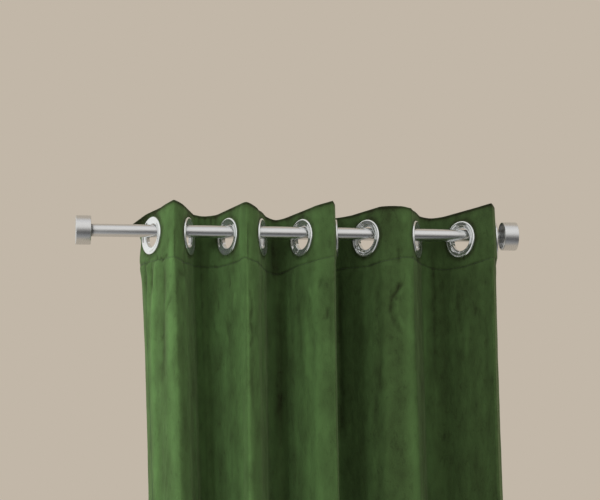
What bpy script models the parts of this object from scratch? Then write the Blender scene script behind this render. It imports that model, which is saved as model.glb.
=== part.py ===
"""A velvet curtain panel hung by eyelets on a steel rod.

Metres, +Z up. The rod runs along X with its axis through the origin, and the
room that the curtain faces lies towards -Y. Sizes and tables are in millimetres.
"""

from collections import namedtuple
from math import cos, pi, radians, sin, sqrt, tan, tanh

import bmesh
import bpy
from mathutils import Vector

MM = 0.001
SCREW_MERGE = 0.00001

# The cloth, cut flat and hemmed
CLOTH_THICKNESS = 2.0
DROP = 1370.0
HEADING_DEPTH = 98.0
SIDE_MARGIN = 52.0

# How the folds change on the way down
DRIFT_REACH = 500.0
HEM_DEEPER = 0.10
HEM_ROUNDER = 0.8
HEM_FLAT = 14.0
HEM_PINCH = 14.0

# The rod, a steel tube with a cap on each end
ROD_RADIUS = 11.0
ROD_WALL = 1.2
CAP_RADIUS = 25.0
CAP_START = 361.0
CAP_LENGTH = 26.0
CAP_BORE_DEPTH = 18.0
CAP_EDGE = 1.5

# The eyelets, each a front ring with a neck through the cloth and a back ring pressed on the neck
RING_RADIUS = 33.0
HOLE_RADIUS = 20.0
NECK_RADIUS = 21.8
NECK_LENGTH = 4.9
RIM_HEIGHT = 3.2
RIM_WIDTH = 3.5
RIM_ROUND = 1.2
RIM_SIDE = 1.2
LIP_WIDTH = 2.5
LIP_HEIGHT = 1.2
BACK_RING_RADIUS = 31.5
BACK_RING_THICKNESS = 3.0
BACK_RING_EDGE = 1.5
PIECE_GAP = 0.3
BORE_GAP = 0.4
CLOTH_HOLE_GAP = 0.8
CUTTER_DEPTH = 12.0
FLAT_HALF = 34.0

# How finely the round shapes and the folds are faceted
RING_STEPS = 24
ROD_STEPS = 32
FOLD_STEPS = 6
ROWS_BELOW_HEADING = 9

# One row for each eyelet, from left to right: its place along the rod, the turn of the
# cloth there in degrees (minus comes forward), the height of the heading's edge above
# the rod's axis, and how far the fold drifts sideways for each metre of drop.
Eyelet = namedtuple("Eyelet", "along turn top drift")
EYELETS = (
    Eyelet(-256, -66, 34, 34),
    Eyelet(-195, 70, 39, 26),
    Eyelet(-125, -66, 40, 12),
    Eyelet(-68, 71, 39, -9),
    Eyelet(4, -64, 39, -12),
    Eyelet(61, 82, 42, -17),
    Eyelet(118, -57, 42, -18),
    Eyelet(206, 65, 43, -16),
    Eyelet(288, -56, 43, -22),
    Eyelet(348, 78, 42, -28),
)

# One row for each fold between two eyelets, front and back in turn: its place along the
# rod, how far it stands behind the rod (minus is in front), the turn of the cloth at its
# crest, how far its round part reaches, and the top and drift as above.
Fold = namedtuple("Fold", "along out turn pinch top drift")
FOLDS = (
    Fold(-224, -57, 5, 3, 40, 22),
    Fold(-163, 49, 0, 6, 41, 26),
    Fold(-100, -56, 0, 3, 39, -6),
    Fold(-34, 56, 0, 8, 38, -8),
    Fold(48, -58, 10, 3, 43, -17),
    Fold(72, 54, -10, 4, 43, -17),
    Fold(164, -38, 0, 14, 42, -18),
    Fold(244, 45, 0, 8, 43, -16),
    Fold(330, -61, 15, 3, 43, -28),
)

# The flank that comes forward bends softly, and the one that goes back bends crisply
SOFT_FLANK = 0.30
CRISP_FLANK = 0.12

Column = namedtuple("Column", "place top drift")


def direction(turn):
    """The way that the cloth runs in plan at this turn."""
    return Vector((cos(radians(turn)), sin(radians(turn))))


def curve(start, start_handle, end_handle, end):
    """Points along a cubic curve, without its first one."""
    points = []
    for step in range(1, FOLD_STEPS + 1):
        t = step / FOLD_STEPS
        s = 1 - t
        points.append(s**3 * start + 3 * s * s * t * start_handle + 3 * s * t * t * end_handle + t**3 * end)
    return points


def between(first, second, places):
    """Columns at these places, whose top and drift go from the first row's to the second's."""
    columns = []
    for step, place in enumerate(places, start=1):
        share = step / len(places)
        top = first.top + share * (second.top - first.top)
        drift = first.drift + share * (second.drift - first.drift)
        columns.append(Column(place, top, drift))
    return columns


def fold_columns(flat_half, least_pinch):
    """The cloth's run in plan: flat behind each eyelet's ring, and curved through each fold."""
    first = EYELETS[0]
    columns = []
    for index, eyelet in enumerate(EYELETS):
        run = direction(eyelet.turn)
        centre = Vector((eyelet.along, 0.0))
        before = centre - flat_half * run
        if index:
            fold = FOLDS[index - 1]
            crest = Vector((fold.along, fold.out))
            round_part = max(fold.pinch, least_pinch) * direction(fold.turn)
            comes_forward = index % 2 == 1
            leave = SOFT_FLANK if comes_forward else CRISP_FLANK
            arrive = CRISP_FLANK if comes_forward else SOFT_FLANK
            leave_handle = after + leave * (crest - after).length * last_run
            arrive_handle = before - arrive * (before - crest).length * run
            columns += between(last_row, fold, curve(after, leave_handle, crest - round_part, crest))
            columns += between(fold, eyelet, curve(crest, crest + round_part, arrive_handle, before))
        else:
            columns.append(Column(centre - SIDE_MARGIN * run, first.top, first.drift))
            columns.append(Column(before, first.top, first.drift))
        after = centre + flat_half * run
        columns.append(Column(after, eyelet.top, eyelet.drift))
        last_run = run
        last_row = eyelet
    columns.append(Column(centre + SIDE_MARGIN * run, last_row.top, last_row.drift))
    return columns


def ease(share):
    """A smooth step from 0 to 1."""
    return share * share * (3 - 2 * share)


def cloth_point(upper, lower, depth):
    """Where the cloth hangs at this depth below its top edge, between the heading's run and the hem's."""
    fallen = max(depth - HEADING_DEPTH, 0.0)
    share = ease(fallen / (DROP - HEADING_DEPTH))
    place = upper.place.lerp(lower.place, HEM_ROUNDER * share)
    sideways = upper.drift * MM * DRIFT_REACH * tanh(fallen / DRIFT_REACH)
    return Vector((place.x + sideways, place.y * (1 + HEM_DEEPER * share), upper.top - depth)) * MM


def hang_drop(turn):
    """How far an eyelet's centre hangs below the rod's axis, with its hole just clear of the rod."""
    slant = abs(radians(turn))
    clear = HOLE_RADIUS * cos(pi / RING_STEPS) - PIECE_GAP
    shifts = (-NECK_LENGTH / tan(slant), CLOTH_THICKNESS / 2 / tan(slant))
    drops = []
    for step in range(ROD_STEPS + 1):
        angle = pi * step / ROD_STEPS
        for shift in shifts:
            across = ROD_RADIUS * cos(angle) / sin(slant) + shift
            drops.append(sqrt(clear**2 - across**2) - ROD_RADIUS * sin(angle))
    return min(drops)


def new_material(name, colour, roughness, metallic):
    material = bpy.data.materials.new(name)
    material.use_nodes = True
    shader = material.node_tree.nodes["Principled BSDF"]
    shader.inputs["Base Color"].default_value = (*colour, 1.0)
    shader.inputs["Roughness"].default_value = roughness
    shader.inputs["Metallic"].default_value = metallic
    return material


def new_object(name, mesh, collection):
    made = bpy.data.objects.new(name, mesh)
    collection.objects.link(made)
    return made


def profile_mesh(name, profile, closed, material):
    """A profile in millimetres, radius and height, for a Screw modifier to turn."""
    outline = bmesh.new()
    points = [outline.verts.new(Vector((radius, 0.0, height)) * MM) for radius, height in profile]
    pairs = list(zip(points, points[1:]))
    if closed:
        pairs.append((points[-1], points[0]))
    for pair in pairs:
        outline.edges.new(pair)
    mesh = bpy.data.meshes.new(name)
    outline.to_mesh(mesh)
    outline.free()
    mesh.materials.append(material)
    return mesh


def turn_profile(made, steps):
    screw = made.modifiers.new("turned", "SCREW")
    screw.steps = steps
    screw.render_steps = steps
    screw.use_merge_vertices = True
    screw.merge_threshold = SCREW_MERGE
    screw.use_smooth_shade = True


def set_in_cloth(made, eyelet):
    """Centres a piece of an eyelet where it hangs, with its axis square to the cloth."""
    made.location = Vector((eyelet.along, 0.0, -hang_drop(eyelet.turn))) * MM
    made.rotation_euler = (pi / 2, 0.0, radians(eyelet.turn))


def make_cutters(cutters):
    """The round holes through the heading, one cutter for each eyelet."""
    radius = (NECK_RADIUS + CLOTH_HOLE_GAP) * MM
    for number, eyelet in enumerate(EYELETS, start=1):
        drum = bmesh.new()
        bmesh.ops.create_cone(
            drum,
            cap_ends=True,
            segments=RING_STEPS,
            radius1=radius,
            radius2=radius,
            depth=CUTTER_DEPTH * MM,
        )
        mesh = bpy.data.meshes.new(f"eyelet_hole_{number:02d}")
        drum.to_mesh(mesh)
        drum.free()
        cutter = new_object(mesh.name, mesh, cutters)
        set_in_cloth(cutter, eyelet)
        cutter.hide_render = True
        cutter.display_type = "WIRE"


def make_cloth(parts, cutters, material):
    """The velvet panel: a grid bent into its folds, given its thickness and cut for the eyelets."""
    upper = fold_columns(FLAT_HALF, least_pinch=0.0)
    lower = fold_columns(HEM_FLAT, least_pinch=HEM_PINCH)
    row_step = (DROP - HEADING_DEPTH) / ROWS_BELOW_HEADING
    depths = [0.0] + [HEADING_DEPTH + row_step * row for row in range(ROWS_BELOW_HEADING + 1)]
    across = len(upper) - 1
    down = len(depths) - 1
    grid = bmesh.new()
    bmesh.ops.create_grid(grid, x_segments=across, y_segments=down, size=0.5)
    for point in grid.verts:
        column = round((point.co.x + 0.5) * across)
        row = round((0.5 - point.co.y) * down)
        point.co = cloth_point(upper[column], lower[column], depths[row])
    mesh = bpy.data.meshes.new("curtain_cloth")
    grid.to_mesh(mesh)
    grid.free()
    mesh.materials.append(material)
    mesh.shade_smooth()
    cloth = new_object("curtain_cloth", mesh, parts)
    shell = cloth.modifiers.new("thickness", "SOLIDIFY")
    shell.thickness = CLOTH_THICKNESS * MM
    shell.offset = 0.0
    shell.use_even_offset = True
    holes = cloth.modifiers.new("eyelet_holes", "BOOLEAN")
    holes.operation = "DIFFERENCE"
    holes.operand_type = "COLLECTION"
    holes.collection = cutters


def make_eyelets(parts, front_material, back_material):
    """The front ring is dished down to its neck, and the back ring is a washer with a soft edge."""
    face = CLOTH_THICKNESS / 2
    seat = face + PIECE_GAP
    rim = seat + RIM_HEIGHT
    front_profile = (
        (HOLE_RADIUS, -NECK_LENGTH),
        (HOLE_RADIUS, face),
        (HOLE_RADIUS + LIP_WIDTH, face + LIP_HEIGHT),
        (RING_RADIUS - RIM_WIDTH, rim),
        (RING_RADIUS - RIM_ROUND, rim - RIM_ROUND / 3),
        (RING_RADIUS, seat + RIM_SIDE),
        (RING_RADIUS, seat),
        (NECK_RADIUS, seat),
        (NECK_RADIUS, -NECK_LENGTH),
    )
    bore = NECK_RADIUS + BORE_GAP
    back_end = -seat - BACK_RING_THICKNESS
    back_profile = (
        (bore, -seat),
        (BACK_RING_RADIUS, -seat),
        (BACK_RING_RADIUS - BACK_RING_EDGE, back_end),
        (bore, back_end),
    )
    front_mesh = profile_mesh("eyelet_front", front_profile, True, front_material)
    back_mesh = profile_mesh("eyelet_back", back_profile, True, back_material)
    for number, eyelet in enumerate(EYELETS, start=1):
        for mesh in (front_mesh, back_mesh):
            ring = new_object(f"{mesh.name}_{number:02d}", mesh, parts)
            set_in_cloth(ring, eyelet)
            turn_profile(ring, RING_STEPS)


def make_rod(parts, material):
    """A steel tube that reaches from inside one cap to inside the other."""
    half = CAP_START + CAP_BORE_DEPTH - PIECE_GAP
    inner = ROD_RADIUS - ROD_WALL
    profile = ((inner, half), (ROD_RADIUS, half), (ROD_RADIUS, -half), (inner, -half))
    rod = new_object("rod", profile_mesh("rod", profile, True, material), parts)
    rod.rotation_euler = (0.0, pi / 2, 0.0)
    turn_profile(rod, ROD_STEPS)


def make_caps(parts, material):
    """A plain round cap over each end of the rod, with its outer face flat."""
    bore = ROD_RADIUS + BORE_GAP
    profile = (
        (0.0, CAP_LENGTH),
        (CAP_RADIUS - CAP_EDGE, CAP_LENGTH),
        (CAP_RADIUS, CAP_LENGTH - CAP_EDGE),
        (CAP_RADIUS, CAP_EDGE),
        (CAP_RADIUS - CAP_EDGE, 0.0),
        (bore, 0.0),
        (bore, CAP_BORE_DEPTH),
        (0.0, CAP_BORE_DEPTH),
    )
    mesh = profile_mesh("end_cap", profile, False, material)
    for name, side in (("end_cap_left", -1), ("end_cap_right", 1)):
        cap = new_object(name, mesh, parts)
        cap.location = (side * CAP_START * MM, 0.0, 0.0)
        cap.rotation_euler = (0.0, side * pi / 2, 0.0)
        turn_profile(cap, ROD_STEPS)


def main():
    for old in list(bpy.data.objects):
        bpy.data.objects.remove(old, do_unlink=True)
    parts = bpy.data.collections.new("velvet_curtain")
    cutters = bpy.data.collections.new("cutters")
    bpy.context.scene.collection.children.link(parts)
    bpy.context.scene.collection.children.link(cutters)
    velvet = new_material("green velvet", (0.055, 0.135, 0.045), 0.9, 0.0)
    chrome = new_material("chrome plate", (0.82, 0.83, 0.83), 0.08, 1.0)
    chrome_back = new_material("chrome plate of the back rings", (0.75, 0.76, 0.76), 0.15, 1.0)
    steel = new_material("brushed steel tube", (0.55, 0.55, 0.56), 0.3, 1.0)
    steel_cap = new_material("brushed steel caps", (0.50, 0.50, 0.51), 0.35, 1.0)
    make_cutters(cutters)
    make_cloth(parts, cutters, velvet)
    make_eyelets(parts, chrome, chrome_back)
    make_rod(parts, steel)
    make_caps(parts, steel_cap)


main()
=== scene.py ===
"""A velvet eyelet curtain on its steel rod: the finish of every piece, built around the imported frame.

Metres, +Z up. The rod runs along X with its axis through the origin, and the room that
the curtain faces lies towards -Y. The tables and the cloth's own sizes are in millimetres.
"""

from collections import namedtuple
from functools import lru_cache
from math import cos, pi, radians, sin

import bmesh
import bpy
import numpy as np
from mathutils import Matrix, Vector, noise


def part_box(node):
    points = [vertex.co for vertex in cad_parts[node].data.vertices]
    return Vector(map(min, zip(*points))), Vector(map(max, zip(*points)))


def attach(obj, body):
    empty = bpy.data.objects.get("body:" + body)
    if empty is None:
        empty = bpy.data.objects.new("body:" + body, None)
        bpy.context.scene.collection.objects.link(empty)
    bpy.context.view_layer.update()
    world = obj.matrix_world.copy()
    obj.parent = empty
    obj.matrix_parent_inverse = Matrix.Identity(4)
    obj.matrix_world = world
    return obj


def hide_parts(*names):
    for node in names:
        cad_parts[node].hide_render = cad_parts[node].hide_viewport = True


bl_info = {
    "name": "Velvet Eyelet Curtain",
    "version": (1, 0, 0),
    "blender": (4, 5, 0),
    "location": "3D View > Sidebar > Curtain",
    "description": "Hangs a detailed velvet panel, its eyelets and its rod on the packed frame",
    "category": "Add Mesh",
}

MM = 0.001

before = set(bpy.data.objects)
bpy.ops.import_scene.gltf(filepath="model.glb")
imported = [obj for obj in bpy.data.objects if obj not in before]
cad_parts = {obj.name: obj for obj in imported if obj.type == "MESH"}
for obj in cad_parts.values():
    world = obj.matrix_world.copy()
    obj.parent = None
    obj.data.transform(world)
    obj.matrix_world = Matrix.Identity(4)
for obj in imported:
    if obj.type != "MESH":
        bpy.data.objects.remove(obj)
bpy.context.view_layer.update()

# The cloth: its drop, the usual depth of its heading, the margin outside the outer eyelets,
# and half the length of the flat that lies behind each eyelet
DROP = 1370.0
HEADING_DEPTH = 98.0
SIDE_MARGIN = 52.0
FLAT_HALF = 34.0

# How the folds change on the way down: how soon their drift sideways slows, how much deeper
# and rounder they are at the hem, and their flats and crests there; then how far the curve
# reaches on the soft flank and on the crisp flank of each fold
DRIFT_REACH = 500.0
HEM_DEEPER = 0.10
HEM_ROUNDER = 0.8
HEM_FLAT = 14.0
HEM_PINCH = 14.0
SOFT_FLANK = 0.30
CRISP_FLANK = 0.12

# How finely the sheet is divided across each flat and each half fold, more finely on the
# flanks that turn left than on those that turn right, and across each side margin
LEFT_FLAT, RIGHT_FLAT = 24, 12
LEFT_HALF_FOLD, RIGHT_HALF_FOLD = 13, 8
MARGIN_COLUMNS = 6

# One row for each eyelet, from left to right: its place along the rod, the turn of the
# cloth there in degrees (minus comes forward), the height of the heading's edge above
# the rod's axis, and how far the fold drifts sideways for each metre of drop
Eyelet = namedtuple("Eyelet", "along turn top drift")
EYELETS = (
    Eyelet(-256, -66, 34, 34),
    Eyelet(-195, 70, 39, 26),
    Eyelet(-125, -66, 40, 12),
    Eyelet(-68, 71, 39, -9),
    Eyelet(4, -64, 39, -12),
    Eyelet(61, 82, 42, -17),
    Eyelet(118, -57, 42, -18),
    Eyelet(206, 65, 43, -16),
    Eyelet(288, -56, 43, -22),
    Eyelet(348, 78, 42, -28),
)

# One row for each fold between two eyelets, front and back in turn: its place along the
# rod, how far it stands behind the rod (minus is in front), the turn of the cloth at its
# crest, how far its round part reaches, and the top and drift as above
Fold = namedtuple("Fold", "along out turn pinch top drift")
FOLDS = (
    Fold(-224, -57, 5, 3, 40, 22),
    Fold(-163, 49, 0, 6, 41, 26),
    Fold(-100, -56, 0, 3, 39, -6),
    Fold(-34, 56, 0, 8, 38, -8),
    Fold(48, -58, 12, 1, 43, -17),
    Fold(72, 54, -10, 4, 43, -17),
    Fold(168, -41, -12, 5, 41, -18),
    Fold(244, 45, 0, 8, 43, -16),
    Fold(328, -61, 15, 1, 43, -38),
)

# Rows of the sheet from the top edge down, close together at the edges and seams
Rows = namedtuple("Rows", "until step")
ROW_ZONES = (
    Rows(6, 1.5),
    Rows(84, 5.2),
    Rows(106, 1.9),
    Rows(330, 4.6),
    Rows(600, 15),
    Rows(1282, 40),
    Rows(1298, 4),
    Rows(1364, 16.5),
    Rows(1370, 2),
)

# Seams and hems: the side hems are narrow and double, the bottom hem deep
SIDE_HEM = 26.0
BOTTOM_HEM = 80.0
SEAM_SINK = 0.8
SEAM_WIDTH = 1.7
HEM_SINK = 0.45
BOTTOM_SEAM_WIDTH = 2.55
SEAM_PUCKER = 0.35
SEAM_PUCKER_PITCH = 6.0
SEAM_PUCKER_REACH = 8.0
SEAM_PUFF = 0.6
SEAM_PUFF_BELOW = 9.0
SEAM_PUFF_REACH = 7.0

# The top edge beside the first eyelet flops over towards the room, most at the free
# corner, and the corner droops
FLOP_DEPTH = 18.0
FLOP_REACH = 112.0
FLOP_BEND = 11.0
CORNER_DROOP = 6.0
CORNER_LEAN = 3.0
CORNER_ACROSS = 46.0
CORNER_DOWN = 40.0

# The top edge dips where two front folds turn into an eyelet's flat
Dip = namedtuple("Dip", "across width reach drop")
DIPS = (Dip(410, 24, 40, 4.5), Dip(938, 24, 40, 3.5))

# Below the heading's seam the two sharpest folds are narrower: how far their right sides
# lie to the left, and between which depths below the seam that comes in
Pull = namedtuple("Pull", "across width inward")
PULLS = (Pull(678, 24, 4), Pull(1194, 28, 7))
PULL_BEGINS, PULL_FULL = -8.0, 12.0

# The free side edges curl back, away from the room: how wide the curl is, how far it goes,
# where it begins and is full, and how much, where and how widely the seam holds it back
SIDE_CURL_WIDTH = 24.0
SIDE_CURL = 7.0
SIDE_CURL_BEGINS = 18.0
SIDE_CURL_FULL = 44.0
SEAM_HOLD = 0.55
SEAM_HOLD_DEPTH = 74.0
SEAM_HOLD_REACH = 26.0

# The hole in the cloth behind each eyelet, how much more is cut out before its edge is drawn
# to a circle, and how wide a strip is drawn
HOLE_RADIUS = 22.6
HOLE_SPARE = 1.5
HOLE_STRIP = 12.0

# Stitches stay outside this radius round each eyelet's middle
STITCH_CLEAR = 34.5

# The cloth has no relief inside the first radius round an eyelet's middle, and all of it
# outside the second
CALM_RADIUS = 35.0
UNEVEN_RADIUS = 46.0

# How the pile lies between the marks, how uneven it is, and the size of its patches and flecks
NAP_MIDDLE = 0.05
NAP_UNEVEN = 0.2
PATCH_ACROSS = 24.0
PATCH_DOWN = 52.0
FLECK_ACROSS = 9.0
FLECK_DOWN = 13.0

# Painted shadow round each eyelet: how dark it is, and the radius and width of its ring
RING_SHADOW = 0.7
RING_SHADOW_RADIUS = 35.0
RING_SHADOW_WIDTH = 4.0

# Painted shade along the top edge: how dark it is, and the depth and width of that line
EDGE_SHADE = 1.1
EDGE_SHADE_DEPTH = 2.0
EDGE_SHADE_WIDTH = 3.5

# Painted shade along the heading's seam: how dark it is, how wide that line is, how far apart
# the places are where it is darker, and how much darker: the middle, the spread and the limits
SEAM_SHADE = 0.6
SEAM_SHADE_WIDTH = 2.2
SEAM_SHADE_PITCH = 42.0
SEAM_SHADE_MEAN = 0.65
SEAM_SHADE_SPREAD = 0.9
SEAM_SHADE_LEAST, SEAM_SHADE_MOST = 0.15, 1.2

# Painted shade on the top edge where it has flopped over: how dark, and how soon it is full
FLOP_SHADE = 1.8
FLOP_SHADE_REACH = 2.0

# How much painted light on a ridge, and painted shade in a groove, for each millimetre of a crease's height
CREASE_SHADE = 0.24

# Broad waves and fine crumple that no single crease accounts for: their height and size, how
# much of the crumple is in the heading, and how far below it both are full
WAVE_HEIGHT = 1.3
WAVE_ACROSS = 30.0
WAVE_DOWN = 420.0
CRUMPLE_HEIGHT = 0.6
CRUMPLE_ACROSS = 9.0
CRUMPLE_DOWN = 40.0
CRUMPLE_IN_HEADING = 0.35
UNEVEN_BELOW_HEADING = 120.0

# The heading's seam wanders: its depth at places across the flat cloth
Seam = namedtuple("Seam", "across depth")
SEAM = (
    Seam(0, 84),
    Seam(42, 86),
    Seam(74, 90),
    Seam(97, 94),
    Seam(114, 98),
    Seam(150, 101),
    Seam(200, 94),
    Seam(241, 91),
    Seam(268, 94),
    Seam(303, 97),
    Seam(337, 99),
    Seam(363, 96),
    Seam(378, 100),
    Seam(440, 101),
    Seam(513, 98),
    Seam(559, 94),
    Seam(613, 96),
    Seam(641, 97),
    Seam(710, 97),
    Seam(785, 94),
    Seam(840, 100),
    Seam(883, 97),
    Seam(907, 92),
    Seam(950, 91),
    Seam(1008, 88),
    Seam(1035, 94),
    Seam(1054, 98),
    Seam(1097, 100),
    Seam(1155, 97),
    Seam(1282, 96),
)

# Upright bands of painted light and shade on the pile: painted light along the front of the
# folds, painted shade behind their crests (minus is darker)
LightShadeBand = namedtuple("LightShadeBand", "across width lie")
LIGHT_SHADE_BANDS = (
    LightShadeBand(106, 13, 0.32),
    LightShadeBand(124, 8, -0.16),
    LightShadeBand(178, 13, -0.3),
    LightShadeBand(239, 13, 0.6),
    LightShadeBand(266, 11, -0.28),
    LightShadeBand(357, 19, 0.56),
    LightShadeBand(400, 16, 0.12),
    LightShadeBand(470, 12, -0.28),
    LightShadeBand(493, 9, 0.2),
    LightShadeBand(537, 9, -0.24),
    LightShadeBand(585, 12, 0.24),
    LightShadeBand(611, 15, 0.8),
    LightShadeBand(636, 8, 0.1),
    LightShadeBand(764, 8, 0.3),
    LightShadeBand(853, 10, -0.2),
    LightShadeBand(884, 9, -0.24),
    LightShadeBand(899, 8, -0.24),
    LightShadeBand(920, 11, 0.68),
    LightShadeBand(948, 9, 0.16),
    LightShadeBand(1005, 14, 0.28),
    LightShadeBand(1046, 12, -0.32),
    LightShadeBand(1080, 20, -0.2),
    LightShadeBand(1110, 10, -0.2),
    LightShadeBand(1152, 12, -0.1),
)

# How much of the bands of painted light and shade is in the heading, between which depths
# below the seam the rest comes in, and how far and over what height they wander
LIGHT_SHADE_IN_HEADING = 0.6
LIGHT_SHADE_BEGINS, LIGHT_SHADE_FULL = -20.0, 10.0
LIGHT_SHADE_WANDER = 4.0
LIGHT_SHADE_WANDER_DOWN = 140.0

# Soft pleats that start at the heading's seam: where they are across the flat cloth, how
# far down they reach, how wide they are and how high they stand (minus sinks in)
Gather = namedtuple("Gather", "across reach width height")
GATHERS = (
    Gather(37, 70, 6, 1.2),
    Gather(76, 90, 8, 1.0),
    Gather(88, 160, 8, -1.4),
    Gather(151, 60, 5, -1.3),
    Gather(262, 90, 7, 1.2),
    Gather(282, 70, 5, -1.1),
    Gather(325, 110, 9, 1.2),
    Gather(344, 80, 5, -0.9),
    Gather(545, 90, 8, 1.2),
    Gather(575, 120, 7, -1.2),
    Gather(606, 90, 6, 1.0),
    Gather(795, 120, 9, 1.3),
    Gather(860, 110, 8, -1.1),
    Gather(880, 90, 6, 1.0),
    Gather(1060, 100, 8, 1.2),
    Gather(1092, 130, 7, -1.2),
    Gather(1128, 100, 7, 1.2),
)

# Between which depths below the seam a pleat rises, and for what share of its reach it is full
GATHER_BEGINS, GATHER_FULL = -2.0, 8.0
GATHER_HOLDS = 0.3

# Single creases: from one place on the flat cloth to another, with width and height
Crease = namedtuple("Crease", "across depth to_across to_depth width height")
CREASES = (
    # First fold: puckers at the seam, two grooves beside the hem and a ridge that drifts outward
    Crease(66, 84, 75, 88, 3.4, -2.2),
    Crease(76, 92, 86, 87, 3.4, -2.4),
    Crease(84, 96, 95, 91, 3.4, -2.2),
    Crease(96, 88, 104, 93, 3.4, -2.2),
    Crease(29, 88, 38, 90, 3.4, -2),
    Crease(27, 84, 26, 142, 3.4, -2.2),
    Crease(50, 86, 47, 146, 3.5, -2.4),
    Crease(70, 90, 57, 136, 5, 3),
    Crease(59, 128, 48, 188, 6, 3.2),
    Crease(48, 180, 43, 290, 8, 3),
    Crease(43, 280, 41, 520, 10, 2.4),
    Crease(91, 100, 84, 180, 7, -2.1),
    Crease(84, 170, 77, 300, 8, -2.2),
    Crease(112, 44, 112, 172, 4, 1.5),
    Crease(111, 170, 101, 300, 8, 1.7),
    Crease(120, 46, 120, 112, 3.4, -2),
    Crease(114, 163, 99, 176, 3.4, -2.1),
    Crease(112, 126, 108, 134, 3.4, -1.7),
    Crease(102, 168, 94, 186, 3.4, -2),
    Crease(154, 74, 150, 116, 3.5, -2.4),
    Crease(127, 118, 140, 127, 3.4, -2),
    Crease(139, 127, 153, 121, 3.4, -2),
    Crease(152, 118, 149, 150, 5, 1.5),
    # Valley behind, with short gathers at the top edge
    Crease(239, 38, 240, 300, 4.5, -3),
    Crease(240, 280, 240, 620, 6, -2.4),
    Crease(235, 1, 236, 30, 3.6, -2.6),
    Crease(246, 1, 247, 26, 3.6, -2.8),
    Crease(257, 1, 256, 28, 3.6, -2.8),
    Crease(268, 1, 265, 26, 3.6, -2.2),
    # Second fold
    Crease(354, 2, 352, 96, 6, 2),
    Crease(374, 34, 372, 110, 3.4, -2.4),
    Crease(375, 150, 382, 184, 3.4, -2.2),
    Crease(382, 180, 376, 206, 3.4, -2.7),
    Crease(376, 204, 383, 231, 3.4, -2.4),
    Crease(383, 229, 375, 252, 3.4, -2.2),
    Crease(376, 250, 381, 360, 4, -1.8),
    Crease(312, 119, 311, 140, 3.4, -1.8),
    Crease(330, 150, 322, 185, 4, 1.5),
    Crease(296, 190, 305, 240, 5, -1.2),
    Crease(262, 150, 268, 215, 5, 1.4),
    Crease(432, 95, 427, 330, 4, -1.4),
    # Second valley
    Crease(498, 30, 500, 110, 9, -3.3),
    Crease(507, 130, 506, 420, 6, -2.4),
    Crease(527, 140, 531, 260, 6, 1.5),
    # Third fold
    Crease(619, 128, 618, 152, 3.4, -1.8),
    Crease(618, 129, 625, 137, 3.4, -1.7),
    Crease(625, 136, 618, 144, 3.4, -1.7),
    Crease(635, 182, 633, 206, 3.4, -2.8),
    Crease(641, 140, 640, 270, 5, -1.2),
    Crease(591, 140, 599, 158, 3.4, 1.7),
    Crease(560, 160, 566, 250, 6, -1.4),
    Crease(585, 190, 580, 300, 7, 1.4),
    Crease(604, 210, 598, 300, 5, -1.2),
    # Third valley, deep in shade
    Crease(768, 60, 768, 420, 6, -2.7),
    # Fourth fold, with its crumple and the ridge beside it
    Crease(911, 12, 917, 34, 3.4, 1.7),
    Crease(901, 72, 901, 104, 3.4, -2.2),
    Crease(902, 136, 897, 154, 3.4, -2.7),
    Crease(898, 150, 885, 168, 3.4, -2.8),
    Crease(886, 165, 884, 192, 3.4, -3.2),
    Crease(884, 188, 893, 212, 3.4, -2),
    Crease(892, 208, 904, 228, 3.4, -1.4),
    Crease(908, 143, 899, 166, 4, 2),
    Crease(897, 166, 896, 194, 4, 2.4),
    Crease(898, 192, 909, 222, 4, 2),
    Crease(848, 150, 852, 230, 6, 1.4),
    Crease(866, 210, 860, 330, 6, -1.2),
    Crease(940, 96, 926, 330, 4.5, -0.9),
    # Fourth valley
    Crease(1028, 40, 1026, 300, 4, -2),
    Crease(1004, 110, 1000, 330, 6, 1.4),
    # Fifth fold
    Crease(1141, 134, 1147, 141, 3.4, -2),
    Crease(1119, 174, 1118, 194, 3.4, -2.2),
    Crease(1128, 178, 1126, 200, 3.4, -1.5),
    Crease(1100, 200, 1094, 262, 5, 1.4),
    Crease(1078, 150, 1082, 220, 5, -1.2),
    Crease(1146, 210, 1140, 330, 5, -1.2),
)

# What is worked out from the tables: a column of the sheet in plan, the place of an eyelet on
# the flat cloth and in the room, and the whole sheet as it hangs
Column = namedtuple("Column", "place top drift")
Ring = namedtuple("Ring", "across depth centre turn")
Hung = namedtuple("Hung", "across depth place front nap rings")


def from_hex(code):
    """An sRGB hex colour as linear values with alpha."""
    channels = [int(code[place : place + 2], 16) / 255 for place in (1, 3, 5)]
    linear = [c / 12.92 if c <= 0.04045 else ((c + 0.055) / 1.055) ** 2.4 for c in channels]
    return (*linear, 1.0)


# The plan of the folds


def direction(turn):
    """The way that the cloth runs in plan at this turn."""
    return Vector((cos(radians(turn)), sin(radians(turn))))


def curve(start, start_handle, end_handle, end, steps):
    """Points along a cubic curve, without its first one."""
    points = []
    for step in range(1, steps + 1):
        t = step / steps
        s = 1 - t
        points.append(s**3 * start + 3 * s * s * t * start_handle + 3 * s * t * t * end_handle + t**3 * end)
    return points


def straight(start, end, steps):
    """Points along a straight run, without its first one."""
    return [start.lerp(end, step / steps) for step in range(1, steps + 1)]


def between(first, second, places):
    """Columns at these places, whose top and drift go from the first row's to the second's."""
    columns = []
    for step, place in enumerate(places, start=1):
        share = step / len(places)
        top = first.top + share * (second.top - first.top)
        drift = first.drift + share * (second.drift - first.drift)
        columns.append(Column(place, top, drift))
    return columns


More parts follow.
